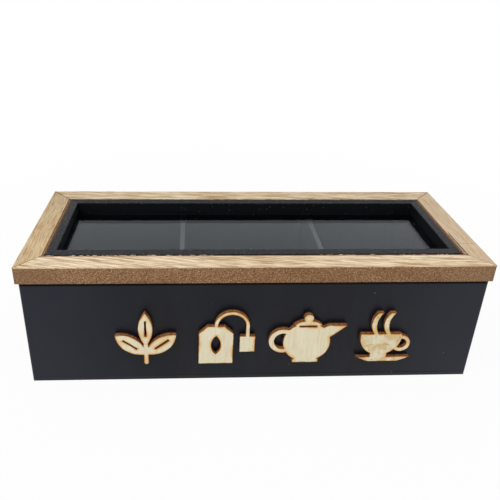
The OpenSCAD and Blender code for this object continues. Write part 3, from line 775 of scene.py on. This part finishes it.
def crossScrews(shares):
    tree, given, keys = startTree("crossScrews", {
        "Head": "number", "Shank": "number", "Head height": "number", "Length": "number", "Recess": "number",
        "Seed": "count", "Finish": "finish",
    })
    half = times(given["Head"], 0.5)
    thin = times(given["Shank"], 0.5)
    head = fed("GeometryNodeMeshCone", {
        "Vertices": 40, "Radius Top": half, "Radius Bottom": thin, "Depth": given["Head height"]})
    head = moved(head, together(z=times(given["Head height"], -1.0)))
    long, wide = times(given["Head"], shares["armLong"]), times(given["Head"], shares["armWide"])
    slot = fed("GeometryNodeMeshCube", {"Size": together(long, wide, times(given["Recess"], 2.0))})
    # the exact solver leaves loose and open edges where the two arms cross
    solid = {"operation": "DIFFERENCE", "solver": "MANIFOLD"}
    cut = fedNode("GeometryNodeMeshBoolean", {"Mesh 1": head, "Mesh 2": slot}, **solid)
    tree.links.new(moved(slot, turn=(0, 0, pi / 2)), cut.inputs["Mesh 2"])
    point = times(thin, shares["point"])
    shaft = fed("GeometryNodeMeshCone", {
        "Vertices": 24, "Radius Top": thin, "Radius Bottom": point, "Depth": given["Length"]})
    deep = plus(given["Length"], times(given["Head height"], 1 - shares["overlap"]))
    shaft = moved(shaft, together(z=times(deep, -1.0)))
    whole = fedNode("GeometryNodeJoinGeometry", {0: cut.outputs[0]})
    tree.links.new(shaft, whole.inputs[0])
    placed = fed("GeometryNodeInstanceOnPoints", {
        "Points": given["Geometry"], "Instance": whole.outputs[0], "Rotation": (-pi / 2, 0, 0)})
    spin = fedNode("FunctionNodeRandomValue", {2: 0.0, 3: pi, "Seed": given["Seed"]}, data_type="FLOAT")
    inputs = {"Instances": placed, "Rotation": together(z=spin.outputs[1])}
    endTree(tree, fed("GeometryNodeRotateInstances", inputs), given["Finish"])
    return tree, keys


screwGrower = crossScrews(screwShares)
screwLook = {"Head": 3 * mm, "Shank": 1.4 * mm, "Head height": 1.2 * mm, "Recess": 0.55 * mm}
leafMiddles = [sum(end.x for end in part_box(side + "_hinge_wall_leaf")) / 2 for side in ("left", "right")]
for name, body, seed in (("wall_screws", "box", 3), ("lid_screws", "lid", 8)):
    low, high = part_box(name)
    head = screwLook["Head"] / 2
    reach = high.x - head - leafMiddles[1]
    places = [(middle + end * reach, high.y, high.z - head) for middle in leafMiddles for end in (-1, 1)]
    screws = newPiece(name.replace("_s", "S"), places)
    growPiece(screws, screwGrower, {**screwLook, "Seed": seed, "Finish": finishes["screw_brass"],
                                    "Length": high.y - low.y - screwLook["Head height"]})
    screws.data.set_sharp_from_angle(angle=sharpAngle)
    settle(screws, body, "hinge_brass", name)
print("screws made")


# front cut-outs: laser-cut plywood, the outline read from the part, the cut edge built up in rows

plyShape = {
    "spacing": 0.45 * mm, "jitter": 0.35, "ease": 0.1 * mm, "border": 0.3,
    "rows": (0.1, 0.35, 0.6, 0.9, 1.0, 1.1, 1.5, 1.9, 2.0, 2.1, 2.5, 3.0),  # depths in millimetres
    "glue": (1.0, 2.0), "glueCut": 0.07 * mm,  # the glue lines among them, and how much deeper they burn
    "taper": 0.02, "rough": 0.06 * mm, "roughScale": 900, "rowStretch": 0.6,
    "leastTurn": 0.7, "sharpTurn": 0.6, "tipReach": 2.5 * mm, "tipShare": 0.1,
}


def outlineLoops(name, spacing):  # rings of (x, z) points with the wood on their left, seen from the front
    same, level, facing, closest = 1e-6, 1e-5, -0.9, 0.4
    shape = bmesh.new()
    shape.from_mesh(cad[name].data)
    bmesh.ops.remove_doubles(shape, verts=shape.verts, dist=same)
    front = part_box(name)[0].y
    follow = {}
    for face in shape.faces:
        if face.normal.y > facing or any(v.co.y > front + level for v in face.verts):
            continue
        for corner in face.loops:
            other = [f for f in corner.edge.link_faces if f != face][0]
            if other.normal.y > facing:
                follow[corner.vert] = corner.link_loop_next.vert
    loops = []
    while follow:
        vert = next(iter(follow))
        ring = []
        while vert in follow:
            ring.append(vert)
            vert = follow.pop(vert)
        kept = []
        for i, vert in enumerate(ring):
            a, b = vert.co, ring[(i + 1) % len(ring)].co
            parts = max(1, round((b - a).length / spacing))
            for k in range(parts):
                point = (a + (b - a) * k / parts).xz
                if not kept or (point - kept[-1]).length > closest * spacing:
                    kept.append(point)
        loops.append(kept)
    shape.free()
    return loops


def outwards(ring, look):  # out of the wood at each point of a ring, damped towards sharp tips
    count, found, tips = len(ring), [], []
    for i in range(count):
        before = (ring[i] - ring[i - 1]).normalized()
        along = (before + (ring[(i + 1) % count] - ring[i]).normalized()).normalized()
        found.append(Vector((along.y, -along.x)) / max(look["leastTurn"], along.dot(before)))
        if along.dot(before) < look["sharpTurn"]:
            tips.append(ring[i])
    for tip in tips:
        for i, point in enumerate(ring):
            found[i] *= min(1, max(look["tipShare"], (point - tip).length / look["tipReach"]))
    return found


def ringGap(points, loops):  # distance from each point to the nearest outline, and whether it is inside
    starts = np.array([p[:] for ring in loops for p in ring])
    ends = np.array([ring[(i + 1) % len(ring)][:] for ring in loops for i in range(len(ring))])
    spots = np.array([p[:] for p in points])[:, None, :]
    step = ends - starts
    share = np.clip(((spots - starts) * step).sum(2) / (step ** 2).sum(1), 0, 1)
    gap = np.sqrt((((starts + share[..., None] * step) - spots) ** 2).sum(2)).min(1)
    crossed = (starts[:, 1] > spots[..., 1]) != (ends[:, 1] > spots[..., 1])
    tiny = 1e-12  # keeps level edges, which are never crossed, from dividing by zero
    safe = np.where(step[:, 1] == 0, tiny, step[:, 1])
    meeting = starts[:, 0] + (spots[..., 1] - starts[:, 1]) * step[:, 0] / safe
    return gap, (crossed & (spots[..., 0] < meeting)).sum(1) % 2 == 1


def fillRings(rings, loose=()):  # faces between the rings, through the loose points too, all turned one way
    ties, first = [], 0
    for ring in rings:
        ties += [(first + i, first + (i + 1) % len(ring)) for i in range(len(ring))]
        first += len(ring)
    flat = [p for ring in rings for p in ring] + list(loose)
    inside, same = 1, 1e-9  # faces outside the rings are left out by the triangulation, those in holes below
    spots, _, faces, origins, _, _ = delaunay_2d_cdt(flat, ties, [], inside, same)
    centres = [sum((spots[i] for i in face), Vector((0, 0))) / len(face) for face in faces]
    held = ringGap(centres, rings)[1]
    turned = []
    for face in (list(face) for face, ok in zip(faces, held) if ok):
        a, b, c = (spots[i] for i in face[:3])
        turned.append(face if (b - a).cross(c - a) > 0 else face[::-1])
    return spots, turned, origins


def plywoodPiece(name, look):
    low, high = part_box(name)
    spacing = look["spacing"]
    loops = outlineLoops(name, spacing)
    normals = [outwards(ring, look) for ring in loops]
    eased = [[p - n * look["ease"] for p, n in zip(ring, out)] for ring, out in zip(loops, normals)]
    grid = []
    for i in range(round((high.x - low.x) / spacing)):
        for k in range(round((high.z - low.z) / spacing)):
            jitter = noise.cell_vector(Vector((i, k, 0))) * look["jitter"]
            grid.append(Vector((low.x + (i + jitter.x) * spacing, low.z + (k + jitter.y) * spacing)))
    border = look["ease"] + look["border"] * spacing
    grid = [p for p, gap, held in zip(grid, *ringGap(grid, loops)) if held and gap > border]
    spots, mesh, origins = fillRings(eased, grid)
    index = {o: i for i, origin in enumerate(origins) for o in origin}
    points = [(p.x, low.y, p.y) for p in spots]
    rim = list(ringGap(spots, loops)[0] / mm)
    depth = [0.0] * len(points)
    lastRow, first = [], 0
    for ring, out in zip(loops, normals):
        count = len(ring)
        above = [index[first + i] for i in range(count)]
        first += count
        for row in look["rows"]:
            below = []
            for spot, outward in zip(ring, out):
                place = Vector((spot.x, spot.y, row * mm * look["rowStretch"])) * look["roughScale"]
                shake = noise.noise(place) * 0.5 + 0.5
                cut = look["taper"] * row * mm + look["rough"] * shake
                if row in look["glue"]:
                    cut += look["glueCut"]
                if row == look["rows"][0]:
                    cut = 0
                moved = spot - outward * cut
                below.append(len(points))
                points.append((moved.x, low.y + row * mm, moved.y))
                rim.append(0.0)
                depth.append(row)
            for i in range(count):
                j = (i + 1) % count
                mesh.append([above[i], above[j], below[j], below[i]])
            above = below
        lastRow.append(above)
    backRings = [[Vector((points[i][0], points[i][2])) for i in ring] for ring in lastRow]
    backIndex = [i for ring in lastRow for i in ring]
    _, faces, origins = fillRings(backRings)
    mesh += [[backIndex[origins[i][0]] for i in face] for face in faces]
    piece = newPiece(name.replace("_", ""), points, faces=mesh)
    bm = bmesh.new()
    bm.from_mesh(piece.data)
    bmesh.ops.recalc_face_normals(bm, faces=bm.faces)
    bm.to_mesh(piece.data)
    bm.free()
    for label, values in (("rim", rim), ("depth", depth)):
        piece.data.attributes.new(label, "FLOAT", "POINT").data.foreach_set("value", values)
    piece.data.materials.append(finishes["birch_plywood"])
    smoothPiece(piece)
    settle(piece, "box", "birch_plywood", name)


for name in cutouts:
    plywoodPiece(name, plyShape)
print("cut-outs made")


# stage, light and camera

def seenDirectly(tree):  # by the camera, in mirrors and through glass
    path = addNode(tree, "ShaderNodeLightPath").outputs
    seen = most(path["Is Glossy Ray"], path["Is Transmission Ray"])
    return most(path["Is Camera Ray"], seen), path["Is Glossy Ray"]


# near and far: how white the floor is under the box and further out, within the two reaches
floorLook = {"tone": (0.9, 0.9, 0.9, 1), "rough": 0.9, "shine": 0.1, "half": 4, "drop": 0.02 * mm,
             "near": 0.94, "far": 1.0, "nearReach": 0.13, "farReach": 0.42}


def floorMaterial(look):
    material, tree, shader, place = startMaterial("paleFloor", look["rough"], look["shine"])
    shader.inputs["Base Color"].default_value = look["tone"]
    white = output(tree, "ShaderNodeEmission", {"Color": (1, 1, 1, 1), "Strength": 1.0})
    reach = fedNode("ShaderNodeVectorMath", {0: place}, operation="LENGTH").outputs["Value"]
    fade = ease(reach, look["nearReach"], look["farReach"], look["near"], look["far"])
    mixShaders(tree, times(seenDirectly(tree)[0], fade), shader.outputs[0], white)
    return material


corners = [(x * floorLook["half"], y * floorLook["half"], -floorLook["drop"])
           for x, y in ((-1, -1), (1, -1), (1, 1), (-1, 1))]
floor = newPiece("floor", corners, faces=[(0, 1, 2, 3)])
floor.data.materials.append(floorMaterial(floorLook))

lightLook = {
    "sky": 0.55, "mirrored": (0.93, 0.965, 1, 1),
    "keyPower": 8.0, "keySize": 1.0, "keyPlace": (-0.35, -0.55, 1.15), "keyAim": (0, 0, 0.05),
}


def skyLight(look):
    world = bpy.data.worlds.new("studio")
    bpy.context.scene.world = world
    world.use_nodes = True
    tree = world.node_tree
    seen, mirrored = seenDirectly(tree)
    soft = output(tree, "ShaderNodeBackground", {"Color": (1, 1, 1, 1), "Strength": look["sky"]})
    backdrop = mixTone(mirrored, (1, 1, 1, 1), look["mirrored"])
    white = fed("ShaderNodeBackground", {"Color": backdrop, "Strength": 1.0})
    mixShaders(tree, seen, soft, white, "World Output")


def keyLight(look):
    light = bpy.data.lights.new("keyLight", "AREA")
    light.energy, light.size = look["keyPower"], look["keySize"]
    lamp = bpy.data.objects.new("keyLight", light)
    lamp.location = look["keyPlace"]
    aim = Vector(look["keyAim"]) - Vector(look["keyPlace"])
    lamp.rotation_euler = aim.to_track_quat("-Z", "Y").to_euler()
    bpy.context.scene.collection.objects.link(lamp)


skyLight(lightLook)
keyLight(lightLook)

# the photograph's view: place in metres, angles in degrees, lens and middle in pixels of a 500 pixel frame
viewLook = {
    "place": (-0.03244, -0.27116, 0.21419), "down": 24.783, "right": 3.196, "lean": -1.439,
    "focal": 541.4, "middle": (221.45, 196.9), "frame": 500, "sensor": 36.0, "nearest": 0.01,
}


def photoCamera(look):
    data = bpy.data.cameras.new("photoCamera")
    data.sensor_width = look["sensor"]
    data.lens = look["focal"] * look["sensor"] / look["frame"]
    data.shift_x = (look["frame"] / 2 - look["middle"][0]) / look["frame"]
    data.shift_y = (look["middle"][1] - look["frame"] / 2) / look["frame"]
    data.clip_start = look["nearest"]
    camera = bpy.data.objects.new("photoCamera", data)
    turn = (Matrix.Rotation(-radians(look["right"]), 4, "Z") @ Matrix.Rotation(-radians(look["down"]), 4, "X")
            @ Matrix.Rotation(radians(look["lean"]), 4, "Y") @ Matrix.Rotation(pi / 2, 4, "X"))
    camera.matrix_world = Matrix.Translation(look["place"]) @ turn
    bpy.context.scene.collection.objects.link(camera)
    bpy.context.scene.camera = camera


photoCamera(viewLook)
bpy.context.scene.view_settings.view_transform = "Standard"
print("stage, light and camera set")
